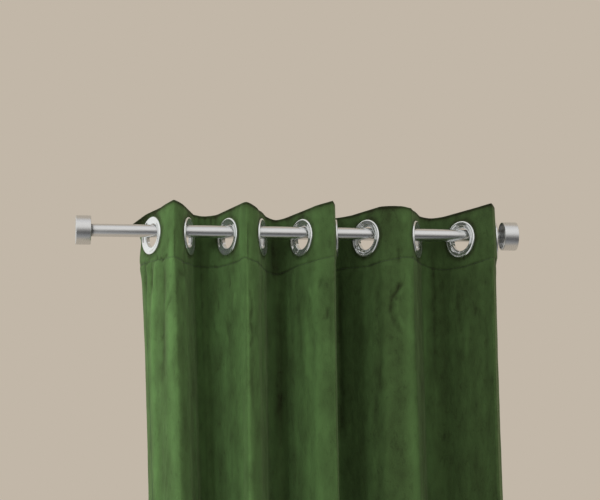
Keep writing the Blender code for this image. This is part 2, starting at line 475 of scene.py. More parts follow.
def fold_columns(flat_half, least_pinch):
    """The cloth's run in plan: flat behind each eyelet's ring, and curved through each fold."""
    first = EYELETS[0]
    edge = Vector((first.along, 0.0)) - SIDE_MARGIN * direction(first.turn)
    columns = [Column(edge, first.top, first.drift)]
    for index, eyelet in enumerate(EYELETS):
        run = direction(eyelet.turn)
        centre = Vector((eyelet.along, 0.0))
        before = centre - flat_half * run
        if index:
            fold = FOLDS[index - 1]
            crest = Vector((fold.along, fold.out))
            round_part = max(fold.pinch, least_pinch) * direction(fold.turn)
            comes_forward = index % 2 == 1
            if comes_forward:
                leave, arrive = SOFT_FLANK, CRISP_FLANK
                steps_there, steps_back = LEFT_HALF_FOLD, RIGHT_HALF_FOLD
            else:
                leave, arrive = CRISP_FLANK, SOFT_FLANK
                steps_there, steps_back = RIGHT_HALF_FOLD, LEFT_HALF_FOLD
            leave_handle = after + leave * (crest - after).length * last_run
            arrive_handle = before - arrive * (before - crest).length * run
            there = curve(after, leave_handle, crest - round_part, crest, steps_there)
            back = curve(crest, crest + round_part, arrive_handle, before, steps_back)
            columns += between(last_row, fold, there)
            columns += between(fold, eyelet, back)
        else:
            columns += between(first, first, straight(edge, before, MARGIN_COLUMNS))
        after = centre + flat_half * run
        flat_steps = RIGHT_FLAT if index % 2 else LEFT_FLAT
        columns += between(eyelet, eyelet, straight(before, after, flat_steps))
        last_run = run
        last_row = eyelet
    far_edge = centre + SIDE_MARGIN * run
    columns += between(last_row, last_row, straight(after, far_edge, MARGIN_COLUMNS))
    return columns


def row_depths():
    """The depth of each row of the sheet below its top edge."""
    depths = [0.0]
    for zone in ROW_ZONES:
        start = depths[-1]
        count = max(1, round((zone.until - start) / zone.step))
        depths += [start + (zone.until - start) * step / count for step in range(1, count + 1)]
    return np.array(depths)


def smooth_step(value, low, high):
    """0 below low, 1 above high and a smooth rise between them."""
    share = np.clip((value - low) / (high - low), 0.0, 1.0)
    return share * share * (3 - 2 * share)


def bell(value, width):
    """1 where the value is 0, falling smoothly to nearly 0 at twice the width."""
    return np.exp(-((value / width) ** 2))


def noise_field(across, depth, across_size, depth_size, seed):
    """Smooth noise from about -1 to 1 on the flat cloth, stretched to these sizes."""
    return np.array(
        [[noise.noise(Vector((a / across_size, d / depth_size, seed))) for a in across] for d in depth]
    )


# The relief on the folds


def seam_depth(across):
    """How deep the heading's seam lies at places across the flat cloth."""
    return np.interp(across, [row.across for row in SEAM], [row.depth for row in SEAM])


def seam_relief(across, depth, width):
    """Sewn lines sunk in the pile: the heading's seam with its pucker, and the three hems."""
    below_seam = depth - seam_depth(across)
    pucker = noise_field(across[0], [0.0], SEAM_PUCKER_PITCH, 1.0, seed=3.1)
    relief = -SEAM_SINK * bell(below_seam, SEAM_WIDTH)
    relief = relief + SEAM_PUCKER * pucker * bell(below_seam, SEAM_PUCKER_REACH)
    relief = relief + SEAM_PUFF * bell(below_seam - SEAM_PUFF_BELOW, SEAM_PUFF_REACH)
    for hem in (SIDE_HEM, width - SIDE_HEM):
        relief = relief - HEM_SINK * bell(across - hem, SEAM_WIDTH)
    return relief - HEM_SINK * bell(depth - (DROP - BOTTOM_HEM), BOTTOM_SEAM_WIDTH)


def gather_relief(across, depth):
    """Soft pleats below the heading's seam, strongest at the seam."""
    relief = np.zeros(across.shape)
    below_seam = depth - seam_depth(across)
    for gather in GATHERS:
        starts = smooth_step(below_seam, GATHER_BEGINS, GATHER_FULL)
        fades = 1 - smooth_step(below_seam, GATHER_HOLDS * gather.reach, gather.reach)
        relief += gather.height * bell(across - gather.across, gather.width) * starts * fades
    return relief


def crease_shape(across, depth, crease):
    """1 along the middle of a crease, falling to 0 at its sides and at both ends."""
    start = np.array((crease.across, crease.depth), float)
    line = np.array((crease.to_across, crease.to_depth), float) - start
    length_squared = float(line @ line)
    share = np.clip(((across - start[0]) * line[0] + (depth - start[1]) * line[1]) / length_squared, 0, 1)
    aside = np.hypot(across - start[0] - share * line[0], depth - start[1] - share * line[1])
    return bell(aside, crease.width) * (1 - np.abs(2 * share - 1) ** 3)


def crease_relief(across, depth):
    """All the single creases together."""
    relief = np.zeros(across.shape)
    for crease in CREASES:
        relief += crease.height * crease_shape(across, depth, crease)
    return relief


def side_curl(across, depth, width):
    """How far each free side edge lies back, least beside the heading's seam."""
    beyond = np.maximum(SIDE_CURL_WIDTH - np.minimum(across, width - across), 0.0) / SIDE_CURL_WIDTH
    held = SEAM_HOLD * bell(depth - SEAM_HOLD_DEPTH, SEAM_HOLD_REACH)
    below_top = smooth_step(depth, SIDE_CURL_BEGINS, SIDE_CURL_FULL)
    return -SIDE_CURL * beyond**1.5 * below_top * (1 - held)


def flop_top_edge(place, front, across, depth):
    """Bends the top edge beside the first eyelet over towards the room and lowers the free corner."""
    share = 1 - smooth_step(across, 0.0, FLOP_REACH)
    above = np.maximum(FLOP_DEPTH * share - depth, 0.0)
    angle = above / FLOP_BEND
    outward = FLOP_BEND * (1 - np.cos(angle))
    place = place + outward[..., None] * front
    place[..., 2] -= above - FLOP_BEND * np.sin(angle)
    corner = (1 - smooth_step(across, 0.0, CORNER_ACROSS)) * (1 - smooth_step(depth, 0.0, CORNER_DOWN))
    place[..., 2] -= CORNER_DROOP * corner
    for dip in DIPS:
        near_top = 1 - smooth_step(depth, 0.0, dip.reach)
        place[..., 2] -= dip.drop * bell(across - dip.across, dip.width) * near_top
    return place + CORNER_LEAN * corner[..., None] * front, above


def face_directions(place):
    """Unit vectors square to the sheet, towards the face that the room sees."""
    along = np.gradient(place, axis=1)
    down = np.gradient(place, axis=0)
    normal = np.cross(down, along)
    return normal / np.linalg.norm(normal, axis=2, keepdims=True)


def nap_and_painted_shade(across, depth, flopped, rings):
    """How light the pile looks, from -1 dark to 1 light: its random lie, painted light and shade along the
    folds, painted shade along the top edge, the seam, the flopped corner and round each eyelet, and painted
    shade in the creases' grooves with painted light on their ridges.
    """
    patches = noise_field(across[0], depth[:, 0], PATCH_ACROSS, PATCH_DOWN, seed=8.3)
    flecks = noise_field(across[0], depth[:, 0], FLECK_ACROSS, FLECK_DOWN, seed=6.6)
    nap = NAP_UNEVEN * (patches + flecks) + NAP_MIDDLE
    below_seam = depth - seam_depth(across)
    wander = LIGHT_SHADE_WANDER * noise_field([0.0], depth[:, 0], 1.0, LIGHT_SHADE_WANDER_DOWN, seed=5.9)
    below = smooth_step(below_seam, LIGHT_SHADE_BEGINS, LIGHT_SHADE_FULL)
    fully = LIGHT_SHADE_IN_HEADING + (1 - LIGHT_SHADE_IN_HEADING) * below
    # Painted light and shade in upright bands along the folds
    for band in LIGHT_SHADE_BANDS:
        nap += band.lie * fully * bell(across - band.across + wander, band.width)
    # Painted shade along the top edge
    nap -= EDGE_SHADE * bell(depth - EDGE_SHADE_DEPTH, EDGE_SHADE_WIDTH)
    # Painted shade along the seam, darker in places
    unevenly = SEAM_SHADE_SPREAD * noise_field(across[0], [0.0], SEAM_SHADE_PITCH, 1.0, seed=3.3)
    seam_darkness = np.clip(SEAM_SHADE_MEAN + unevenly, SEAM_SHADE_LEAST, SEAM_SHADE_MOST)
    nap -= SEAM_SHADE * seam_darkness * bell(below_seam, SEAM_SHADE_WIDTH)
    # Painted shade on the flopped-over top edge
    nap -= FLOP_SHADE * np.clip(flopped / FLOP_SHADE_REACH, 0.0, 1.0)
    # Painted shadow round each eyelet
    for ring in rings:
        from_ring = np.hypot(across - ring.across, depth - ring.depth)
        nap -= RING_SHADOW * bell(from_ring - RING_SHADOW_RADIUS, RING_SHADOW_WIDTH)
    # Painted shade in the creases' grooves and painted light on their ridges
    for crease in CREASES:
        nap += CREASE_SHADE * crease.height * crease_shape(across, depth, crease)
    return np.clip(nap, -1.0, 1.0)


def eyelet_rings(across, plan):
    """Where each eyelet's ring lies on the flat cloth and hangs in the room."""
    rings = []
    for number, eyelet in enumerate(EYELETS, start=1):
        low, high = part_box(f"eyelet_front_{number:02d}")
        height = (low.z + high.z) / 2 / MM
        middle = across[np.linalg.norm(plan - (eyelet.along, 0.0), axis=1).argmin()]
        centre = Vector((eyelet.along, 0.0, height))
        rings.append(Ring(middle, eyelet.top - height, centre, eyelet.turn))
    return rings


def sheet_relief(across, depth, rings):
    """How far the cloth stands out of its smooth folds or sinks in, but not beside the eyelets."""
    flat_across, flat_depth = np.meshgrid(across, depth)
    clear = np.ones(flat_across.shape)
    for ring in rings:
        from_ring = np.hypot(flat_across - ring.across, flat_depth - ring.depth)
        clear *= smooth_step(from_ring, CALM_RADIUS, UNEVEN_RADIUS)
    below = smooth_step(flat_depth, HEADING_DEPTH, HEADING_DEPTH + UNEVEN_BELOW_HEADING)
    wave = noise_field(across, depth, WAVE_ACROSS, WAVE_DOWN, seed=1.7)
    crumple = noise_field(across, depth, CRUMPLE_ACROSS, CRUMPLE_DOWN, seed=4.2)
    crumpled = CRUMPLE_IN_HEADING + (1 - CRUMPLE_IN_HEADING) * below
    relief = WAVE_HEIGHT * wave * below + CRUMPLE_HEIGHT * crumple * crumpled
    relief += seam_relief(flat_across, flat_depth, across[-1])
    relief += gather_relief(flat_across, flat_depth)
    relief += crease_relief(flat_across, flat_depth)
    return relief * clear + side_curl(flat_across, flat_depth, across[-1])


@lru_cache(maxsize=1)
def hang_cloth():
    """The whole sheet as it hangs: where each row and column lies and which way its face points."""
    upper = fold_columns(FLAT_HALF, least_pinch=0.0)
    lower = fold_columns(HEM_FLAT, least_pinch=HEM_PINCH)
    plan = np.array([column.place for column in upper])
    hem_plan = np.array([column.place for column in lower])
    top = np.array([column.top for column in upper], float)
    drift = np.array([column.drift for column in upper], float)
    steps = np.linalg.norm(np.diff(plan, axis=0), axis=1)
    across = np.concatenate(([0.0], np.cumsum(steps)))
    depth = row_depths()

    fallen = np.maximum(depth - HEADING_DEPTH, 0.0)[:, None]
    share = smooth_step(fallen, 0.0, DROP - HEADING_DEPTH)
    mixed = plan + (hem_plan - plan) * HEM_ROUNDER * share[..., None]
    sideways = drift * MM * DRIFT_REACH * np.tanh(fallen / DRIFT_REACH)
    place = np.empty((len(depth), len(across), 3))
    place[..., 0] = mixed[..., 0] + sideways
    place[..., 1] = mixed[..., 1] * (1 + HEM_DEEPER * share)
    place[..., 2] = top - depth[:, None]
    below_seam = depth[:, None] - seam_depth(across)
    pulled = smooth_step(below_seam, PULL_BEGINS, PULL_FULL) * (1 - share)
    for pull in PULLS:
        place[..., 0] -= pull.inward * bell(across - pull.across, pull.width) * pulled

    rings = eyelet_rings(across, plan)
    front = face_directions(place)
    place = place + sheet_relief(across, depth, rings)[..., None] * front
    flat_across, flat_depth = np.meshgrid(across, depth)
    place, flopped = flop_top_edge(place, front, flat_across, flat_depth)
    front = face_directions(place)
    nap = nap_and_painted_shade(flat_across, flat_depth, flopped, rings)
    return Hung(across, depth, place, front, nap, rings)


# Materials


def add_node(tree, kind, settings=(), links=()):
    """Adds a node, sets its options and its unlinked sockets, and links the others to their sources."""
    node = tree.nodes.new(kind)
    for name, value in settings:
        if isinstance(name, int) or name in node.inputs:
            node.inputs[name].default_value = value
        else:
            setattr(node, name, value)
    for name, source in links:
        tree.links.new(source, node.inputs[name])
    return node


def new_material(name, settings):
    """A material with one Principled BSDF, whose plain sockets are set here."""
    material = bpy.data.materials.new(name)
    material.use_nodes = True
    tree = material.node_tree
    tree.nodes.clear()
    shader = add_node(tree, "ShaderNodeBsdfPrincipled", settings)
    add_node(tree, "ShaderNodeOutputMaterial", (), (("Surface", shader.outputs["BSDF"]),))
    return material, tree, shader


def velvet_material(cloth):
    """Cotton velvet, woven with a short cut pile and dyed green: matt face on and pale edge on."""
    # The sheen gives the pale edges; the attribute gives the soft light and dark marks: the pile's random
    # lie with painted light and shade
    material, tree, shader = new_material(
        "cotton velvet, cut pile",
        (
            ("Roughness", 0.95),
            ("Specular IOR Level", 0.1),
            ("Sheen Weight", 0.3),
            ("Sheen Roughness", 0.35),
            ("Sheen Tint", from_hex("#AFBC90")),
        ),
    )
    flat = add_node(tree, "ShaderNodeUVMap", (("uv_map", "flat_cloth"),))
    nap = add_node(tree, "ShaderNodeAttribute", (("attribute_name", "nap"),))
    stretched = add_node(
        tree, "ShaderNodeMapping", (("Scale", (1.0, 0.5, 1.0)),), (("Vector", flat.outputs["UV"]),)
    )
    # Random marks where the pile is brushed, about 30 mm across and twice as tall
    brushed = add_node(
        tree,
        "ShaderNodeTexNoise",
        (("Scale", 1 / 0.030), ("Detail", 3.0), ("Roughness", 0.6)),
        (("Vector", stretched.outputs["Vector"]),),
    )
    # The tufts are 0.3 mm apart, too fine to show, so they are drawn 1.6 mm apart
    tufts = add_node(
        tree,
        "ShaderNodeTexNoise",
        (("Scale", 1 / 0.0016), ("Detail", 2.0), ("Roughness", 0.7)),
        (("Vector", flat.outputs["UV"]),),
    )
    # Small marks about 9 mm long where the pile is crushed, dark and far apart
    crushed = add_node(
        tree,
        "ShaderNodeTexNoise",
        (("Scale", 1 / 0.009), ("Detail", 1.0), ("Roughness", 0.5), ("Distortion", 1.4)),
        (("Vector", stretched.outputs["Vector"]),),
    )
    nap_and_shade_share = add_node(
        tree,
        "ShaderNodeMapRange",
        (("From Min", -1.0), ("From Max", 1.0)),
        (("Value", nap.outputs["Fac"]),),
    )
    crushed_share = add_node(
        tree,
        "ShaderNodeMapRange",
        (("From Min", 0.58), ("From Max", 0.72), ("To Min", 0.01), ("To Max", -0.11)),
        (("Value", crushed.outputs["Fac"]),),
    )
    brushed_share = add_node(
        tree,
        "ShaderNodeMapRange",
        (("From Min", 0.3), ("From Max", 0.7), ("To Min", -0.13), ("To Max", 0.13)),
        (("Value", brushed.outputs["Fac"]),),
    )
    tuft_share = add_node(
        tree,
        "ShaderNodeMapRange",
        (("From Min", 0.25), ("From Max", 0.75), ("To Min", -0.14), ("To Max", 0.14)),
        (("Value", tufts.outputs["Fac"]),),
    )
    lie = nap_and_shade_share.outputs["Result"]
    for share in (brushed_share, crushed_share, tuft_share):
        added = add_node(
            tree,
            "ShaderNodeMath",
            (("use_clamp", share is tuft_share),),
            ((0, lie), (1, share.outputs["Result"])),
        )
        lie = added.outputs["Value"]
    colour = add_node(
        tree,
        "ShaderNodeMix",
        (("data_type", "RGBA"), (6, cloth.velvet_dark), (7, cloth.velvet_light)),
        ((0, lie),),
    )
    # Soft crumples about 14 mm across
    crumples = add_node(
        tree,
        "ShaderNodeTexNoise",
        (("Scale", 1 / 0.014), ("Detail", 3.0), ("Roughness", 0.55), ("Distortion", 0.6)),
        (("Vector", stretched.outputs["Vector"]),),
    )
    soft_bump = add_node(
        tree,
        "ShaderNodeBump",
        (("Strength", 0.5), ("Distance", 0.003)),
        (("Height", crumples.outputs["Fac"]),),
    )
    bump = add_node(
        tree,
        "ShaderNodeBump",
        (("Strength", 0.5), ("Distance", 0.0006)),
        (("Height", tufts.outputs["Fac"]), ("Normal", soft_bump.outputs["Normal"])),
    )
    tree.links.new(colour.outputs[2], shader.inputs["Base Color"])
    tree.links.new(bump.outputs["Normal"], shader.inputs["Normal"])
    return material


def reverse_material(cloth):
    """The velvet's woven back, a plain cotton ground: duller than the pile, its threads showing."""
    # The threads are 0.4 mm apart and drawn 1.2 mm apart, so that they show
    thread = 1 / 0.0012
    material, tree, shader = new_material(
        "cotton velvet, woven back", (("Roughness", 0.85), ("Specular IOR Level", 0.2))
    )
    flat = add_node(tree, "ShaderNodeUVMap", (("uv_map", "flat_cloth"),))
    warp, weft = (
        add_node(
            tree,
            "ShaderNodeTexWave",
            (("bands_direction", way), ("Scale", thread / 3.2), ("Distortion", 0.6), ("Detail", 1.0)),
            (("Vector", flat.outputs["UV"]),),
        )
        for way in ("X", "Y")
    )
    weave = add_node(
        tree,
        "ShaderNodeMath",
        (("operation", "MULTIPLY"),),
        ((0, warp.outputs["Fac"]), (1, weft.outputs["Fac"])),
    )
    colour = add_node(
        tree,
        "ShaderNodeMix",
        (("data_type", "RGBA"), (6, cloth.reverse_dark), (7, cloth.reverse_light)),
        ((0, weave.outputs["Value"]),),
    )
    bump = add_node(
        tree,
        "ShaderNodeBump",
        (("Strength", 0.4), ("Distance", 0.0003)),
        (("Height", weave.outputs["Value"]),),
    )
    tree.links.new(colour.outputs[2], shader.inputs["Base Color"])
    tree.links.new(bump.outputs["Normal"], shader.inputs["Normal"])
    return material


def thread_material(cloth):
    """Spun polyester sewing thread, dyed to match: a fine twist with a slight gloss."""
    material, tree, shader = new_material(
        "polyester sewing thread", (("Roughness", 0.55), ("Sheen Weight", 0.2))
    )
    place = add_node(tree, "ShaderNodeTexCoord")
    # The twist repeats every 0.5 mm
    twist = add_node(
        tree,
        "ShaderNodeTexWave",
        (("bands_direction", "DIAGONAL"), ("Scale", 1 / 0.0016)),
        (("Vector", place.outputs["Object"]),),
    )
    colour = add_node(
        tree,
        "ShaderNodeMix",
        (("data_type", "RGBA"), (6, from_hex("#1C2915")), (7, cloth.thread)),
        ((0, twist.outputs["Fac"]),),
    )
    tree.links.new(colour.outputs[2], shader.inputs["Base Color"])
    return material


def chrome_material(name, colour, low, high):
    """Nickel and chrome plate on pressed steel: a clear mirror with faint haze and waves from the die."""
    # An eighth of the light scatters in the haze, so that the dish stays grey beside the cloth
    material, tree, shader = new_material(name, (("Metallic", 0.88), ("Base Color", colour)))
    place = add_node(tree, "ShaderNodeTexCoord")
    # Haze in spots about 6 mm across
    haze = add_node(
        tree,
        "ShaderNodeTexNoise",
        (("Scale", 1 / 0.006), ("Detail", 4.0), ("Roughness", 0.6)),
        (("Vector", place.outputs["Object"]),),
    )
    roughness = add_node(
        tree,
        "ShaderNodeMapRange",
        (("From Min", 0.35), ("From Max", 0.7), ("To Min", low), ("To Max", high)),
        (("Value", haze.outputs["Fac"]),),
    )
    # A handful of soft waves round the dish
    spoke = add_node(tree, "ShaderNodeAttribute", (("attribute_name", "spoke"),))
    waves = add_node(
        tree,
        "ShaderNodeTexNoise",
        (("Scale", 0.9), ("Detail", 0.0)),
        (("Vector", spoke.outputs["Vector"]),),
    )
    bump = add_node(
        tree,
        "ShaderNodeBump",
        (("Strength", 1.0), ("Distance", 0.0045)),
        (("Height", waves.outputs["Fac"]),),
    )
    tree.links.new(roughness.outputs["Result"], shader.inputs["Roughness"])
    tree.links.new(bump.outputs["Normal"], shader.inputs["Normal"])
    return material


def satin_steel_material(name, colour, streak_scale, low, high):
    """Drawn stainless steel, brushed: a soft mirror, streaked along the brushing."""
    material, tree, shader = new_material(name, (("Metallic", 1.0), ("Base Color", colour)))
    place = add_node(tree, "ShaderNodeTexCoord")
    stretched = add_node(
        tree, "ShaderNodeMapping", (("Scale", streak_scale),), (("Vector", place.outputs["Object"]),)
    )
    # The brushing lines are under 0.1 mm, and are drawn 0.7 mm wide
    streaks = add_node(
        tree,
        "ShaderNodeTexNoise",
        (("Scale", 1 / 0.0007), ("Detail", 3.0), ("Roughness", 0.65)),
        (("Vector", stretched.outputs["Vector"]),),
    )
    roughness = add_node(
        tree,
        "ShaderNodeMapRange",
        (("From Min", 0.3), ("From Max", 0.7), ("To Min", low), ("To Max", high)),
        (("Value", streaks.outputs["Fac"]),),
    )
    bump = add_node(
        tree,
        "ShaderNodeBump",
        (("Strength", 0.15), ("Distance", 0.0001)),
        (("Height", streaks.outputs["Fac"]),),
    )
    tree.links.new(roughness.outputs["Result"], shader.inputs["Roughness"])
    tree.links.new(bump.outputs["Normal"], shader.inputs["Normal"])
    return material


# Shared ways of making pieces

# Points closer than this are merged, and edges that turn less than this are shaded smooth
MERGE_DISTANCE = 0.000001
SMOOTH_ANGLE = radians(35)


def begin(name, add_primitive, **settings):
    """Adds a primitive with nothing else selected, names it and opens it for editing."""
    bpy.ops.object.select_all(action="DESELECT")
    add_primitive(**settings)
    piece = bpy.context.object
    piece.name = name
    piece.data.name = name
    bpy.ops.object.transform_apply(location=True, rotation=True, scale=True)
    bpy.ops.object.mode_set(mode="EDIT")
    return piece


def end(piece, material):
    """Closes editing with the faces outward and smooth, and gives the piece its material."""
    bpy.ops.mesh.select_all(action="SELECT")
    bpy.ops.mesh.remove_doubles(threshold=MERGE_DISTANCE)
    bpy.ops.mesh.normals_make_consistent(inside=False)
    bpy.ops.object.mode_set(mode="OBJECT")
    piece.data.materials.append(material)
    bpy.ops.object.shade_smooth_by_angle(angle=SMOOTH_ANGLE)


def select_faces(piece, wanted):
    """Selects only the faces whose middle and normal pass a test."""
    edited = bmesh.from_edit_mesh(piece.data)
    for face in edited.faces:
        face.select_set(wanted(face.calc_center_median(), face.normal))
    edited.select_flush_mode()
    bmesh.update_edit_mesh(piece.data)


def select_edges(piece, wanted):
    """Selects only the edges whose two ends pass a test together."""
    bpy.ops.mesh.select_mode(type="EDGE")
    edited = bmesh.from_edit_mesh(piece.data)
    for edge in edited.edges:
        edge.select_set(wanted(edge.verts[0].co, edge.verts[1].co))
    edited.select_flush_mode()
    bmesh.update_edit_mesh(piece.data)


def turned_piece(name, profile, segments, material):
    """A turned ring on the Z axis: a circle extruded and resized along its closed profile."""
    radius, height = profile[0]
    piece = begin(
        name,
        bpy.ops.mesh.primitive_circle_add,
        vertices=segments,
        radius=radius * MM,
        location=(0.0, 0.0, height * MM),
    )
    for next_radius, next_height in profile[1:]:
        rise = (0.0, 0.0, (next_height - height) * MM)
        bpy.ops.mesh.extrude_edges_move(TRANSFORM_OT_translate={"value": rise})
        grow = next_radius / radius
        bpy.ops.transform.resize(value=(grow, grow, 1.0), center_override=(0.0, 0.0, 0.0))
        radius, height = next_radius, next_height
    bpy.ops.mesh.select_mode(type="EDGE")
    bpy.ops.mesh.select_all(action="DESELECT")
    bpy.ops.mesh.select_non_manifold()
    bpy.ops.mesh.bridge_edge_loops()
    end(piece, material)
    spokes = piece.data.attributes.new("spoke", "FLOAT_VECTOR", "POINT")
    for point, spoke in zip(piece.data.vertices, spokes.data):
        spoke.vector = Vector((point.co.x, point.co.y, 0.0)).normalized()
    return piece


def copy_piece(pattern, name, placing):
    """A copy with its own mesh, whose place is in the mesh."""
    mesh = pattern.data.copy()
    mesh.name = name
    mesh.transform(placing)
    copy = bpy.data.objects.new(name, mesh)
    bpy.context.scene.collection.objects.link(copy)
    return copy


def ring_placing(ring):
    """From a ring's own Z axis to square out of the cloth, at the ring's centre."""
    centre = Matrix.Translation(ring.centre * MM)
    return centre @ Matrix.Rotation(radians(ring.turn), 4, "Z") @ Matrix.Rotation(pi / 2, 4, "X")


# Settings


def colour_setting(name, description, code):
    """A colour that the user can change, with an sRGB hex colour as its default."""
    return bpy.props.FloatVectorProperty(
        name=name,
        description=description,
        default=from_hex(code),
        size=4,
        min=0.0,
        max=1.0,
        subtype="COLOR",
    )


class CurtainCloth(bpy.types.PropertyGroup):
    """The panel's layers, colours and stitches"""

    thickness: bpy.props.FloatProperty(
        name="Thickness",
        description="Thickness of the doubled heading and hems, pile included",
        default=0.002,
        min=0.001,
        max=0.003,
        unit="LENGTH",
    )
    single: bpy.props.FloatProperty(
        name="Single layer",
        description="Share of that thickness where the cloth is a single layer",
        default=0.7,
        min=0.3,
        max=1.0,
        subtype="FACTOR",
    )
    # The pile's two colours, mixed by its random lie and by painted light and shade
    velvet_dark: colour_setting(
        "Pile, dark lie", "Colour of the pile where it leans towards the eye", "#282C1A"
    )
    velvet_light: colour_setting(
        "Pile, light lie", "Colour of the pile where it leans away from the eye", "#577544"
    )
    reverse_dark: colour_setting(
        "Woven back, between threads", "Colour between the threads of the woven back", "#33482A"
    )
    reverse_light: colour_setting(
        "Woven back, threads", "Colour of the threads of the woven back", "#5C7A4C"
    )
    thread: colour_setting("Sewing thread", "Colour of the sewing thread", "#2C3F22")
    stitch: bpy.props.FloatProperty(
        name="Stitch",
        description="Length of one stitch with the gap after it",
        default=0.0035,
        min=0.002,
        max=0.006,
        unit="LENGTH",
    )


class CurtainMetal(bpy.types.PropertyGroup):
    """The colours of the metal and how finely it is turned"""

    chrome: colour_setting("Chrome", "Colour of the chrome plate", "#E6E8E8")
    chrome_back: colour_setting("Back rings", "Colour of the back rings' duller plate", "#D3D6D6")
    steel: colour_setting("Satin steel", "Colour of the rod", "#DADBDB")
    segments: bpy.props.IntProperty(
        name="Segments",
        description="Number of faces round each eyelet, the rod and the caps",
        default=96,
        min=24,
        max=192,
    )


class CurtainRoom(bpy.types.PropertyGroup):
    """The rod's height, the surroundings and the lights"""

    rod_height: bpy.props.FloatProperty(
        name="Rod height",
        description="Height of the rod above the floor",
        default=2.2,
        min=1.5,
        max=3.0,
        unit="LENGTH",
    )
    air: colour_setting("Backdrop", "Colour of the plain surroundings", "#C2B7A8")
    floor: colour_setting("Floor", "Colour of the pale floor", "#CFCBC4")
    left_power: bpy.props.FloatProperty(
        name="Left light",
        description="Power of the soft light in front on the left",
        default=2.5,
        min=0.0,
        unit="POWER",
    )
    right_power: bpy.props.FloatProperty(
        name="Right light",
        description="Power of the soft light in front on the right",
        default=0.7,
        min=0.0,
        unit="POWER",
    )


# The pieces


class CURTAIN_OT_velvet(bpy.types.Operator):
    """Hangs the velvet panel in its folds, with its creases, hems and eyelet holes"""

    bl_idname = "curtain.velvet"
    bl_label = "Velvet panel"

    # Share of the full thickness along the top and bottom edges, which are rounded off
    ROUNDED_SHARE = 0.5

    # The front's material slots. The back of each takes the next slot
    SINGLE_SLOT, DOUBLED_SLOT = 0, 2

    def execute(self, context):
        cloth = context.scene.curtain_cloth
        hung = hang_cloth()
        mesh = self.bent_grid(hung, cloth)
        piece = bpy.data.objects.new("velvet_panel", mesh)
        context.scene.collection.objects.link(piece)
        self.weigh_layers(piece, mesh)
        velvet = velvet_material(cloth)
        # The woven back shows where the cloth is single, and pile on both sides where it is doubled
        for material in (velvet, reverse_material(cloth), velvet, velvet):
            mesh.materials.append(material)
        shell = piece.modifiers.new("thickness", "SOLIDIFY")
        shell.thickness = cloth.thickness
        shell.offset = -1.0
        shell.use_even_offset = True
        shell.vertex_group = "doubled"
        shell.thickness_vertex_group = 0.0
        shell.material_offset = 1
        bpy.ops.object.select_all(action="DESELECT")
        piece.select_set(True)
        context.view_layer.objects.active = piece
        bpy.ops.object.modifier_apply(modifier=shell.name)
        piece.data.shade_smooth()
        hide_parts("curtain_cloth")
        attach(piece, "root")
        return {"FINISHED"}

    def weigh_layers(self, piece, mesh):
        """Moves each point's share of the full thickness to a vertex group, for the modifier."""
        shares = [layer.value for layer in mesh.attributes["doubled"].data]
        mesh.attributes.remove(mesh.attributes["doubled"])
        group = piece.vertex_groups.new(name="doubled")
        for index, share in enumerate(shares):
            group.add([index], share, "REPLACE")

    def bent_grid(self, hung, cloth):
        """The front face of the sheet, bent from a flat grid, with the eyelet holes left out."""
        down = len(hung.depth) - 1
        across = len(hung.across) - 1
        grid = bmesh.new()
        bmesh.ops.create_grid(grid, x_segments=across, y_segments=down, size=0.5)
        flat = {}
        nap = grid.verts.layers.float.new("nap")
        doubled = grid.verts.layers.float.new("doubled")
        surface = hung.place + hung.front * cloth.thickness / 2 / MM
        width = hung.across[-1]
        for point in grid.verts:
            column = round((point.co.x + 0.5) * across)
            row = round((0.5 - point.co.y) * down)
            flat[point] = (hung.across[column], hung.depth[row])
            point.co = Vector(surface[row, column]) * MM
            point[nap] = hung.nap[row, column]
            point[doubled] = cloth.single
            if self.is_doubled(*flat[point], width):
                point[doubled] = 1.0
            if row == 0 or row == down:
                point[doubled] = self.ROUNDED_SHARE
        self.cut_holes(grid, flat, hung.rings, cloth)
        layer = grid.loops.layers.uv.new("flat_cloth")
        for face in grid.faces:
            for corner in face.loops:
                place_across, place_depth = flat[corner.vert]
                corner[layer].uv = (place_across * MM, -place_depth * MM)
            inside = all(self.is_doubled(*flat[point], width) for point in face.verts)
            face.material_index = self.DOUBLED_SLOT if inside else self.SINGLE_SLOT
        mesh = bpy.data.meshes.new("velvet_panel")
        grid.to_mesh(mesh)
        grid.free()
        return mesh

    def is_doubled(self, across, depth, width):
        """True on the turned heading and in the hems."""
        in_side = min(across, width - across) <= SIDE_HEM
        return depth <= seam_depth(across) or in_side or depth >= DROP - BOTTOM_HEM

    def cut_holes(self, grid, flat, rings, cloth):
        """Leaves out the cloth inside each eyelet's neck and draws the edge that is left to a circle."""
        cut = HOLE_RADIUS + HOLE_SPARE
        for ring in rings:
            middle = Vector((ring.across, ring.depth))
            inside = [point for point in grid.verts if (Vector(flat[point]) - middle).length < cut]
            bmesh.ops.delete(grid, geom=inside, context="VERTS")
            run = Vector((*direction(ring.turn), 0.0))
            face_out = Vector((run.y, -run.x, 0.0))
            centre = ring.centre + face_out * cloth.thickness / 2 / MM
            for point in grid.verts:
                offset = Vector(flat[point]) - middle
                if point.is_boundary and offset.length < HOLE_RADIUS + HOLE_STRIP:
                    offset = offset.normalized() * HOLE_RADIUS
                    flat[point] = tuple(middle + offset)
                    point.co = (centre + offset.x * run - Vector((0.0, 0.0, offset.y))) * MM


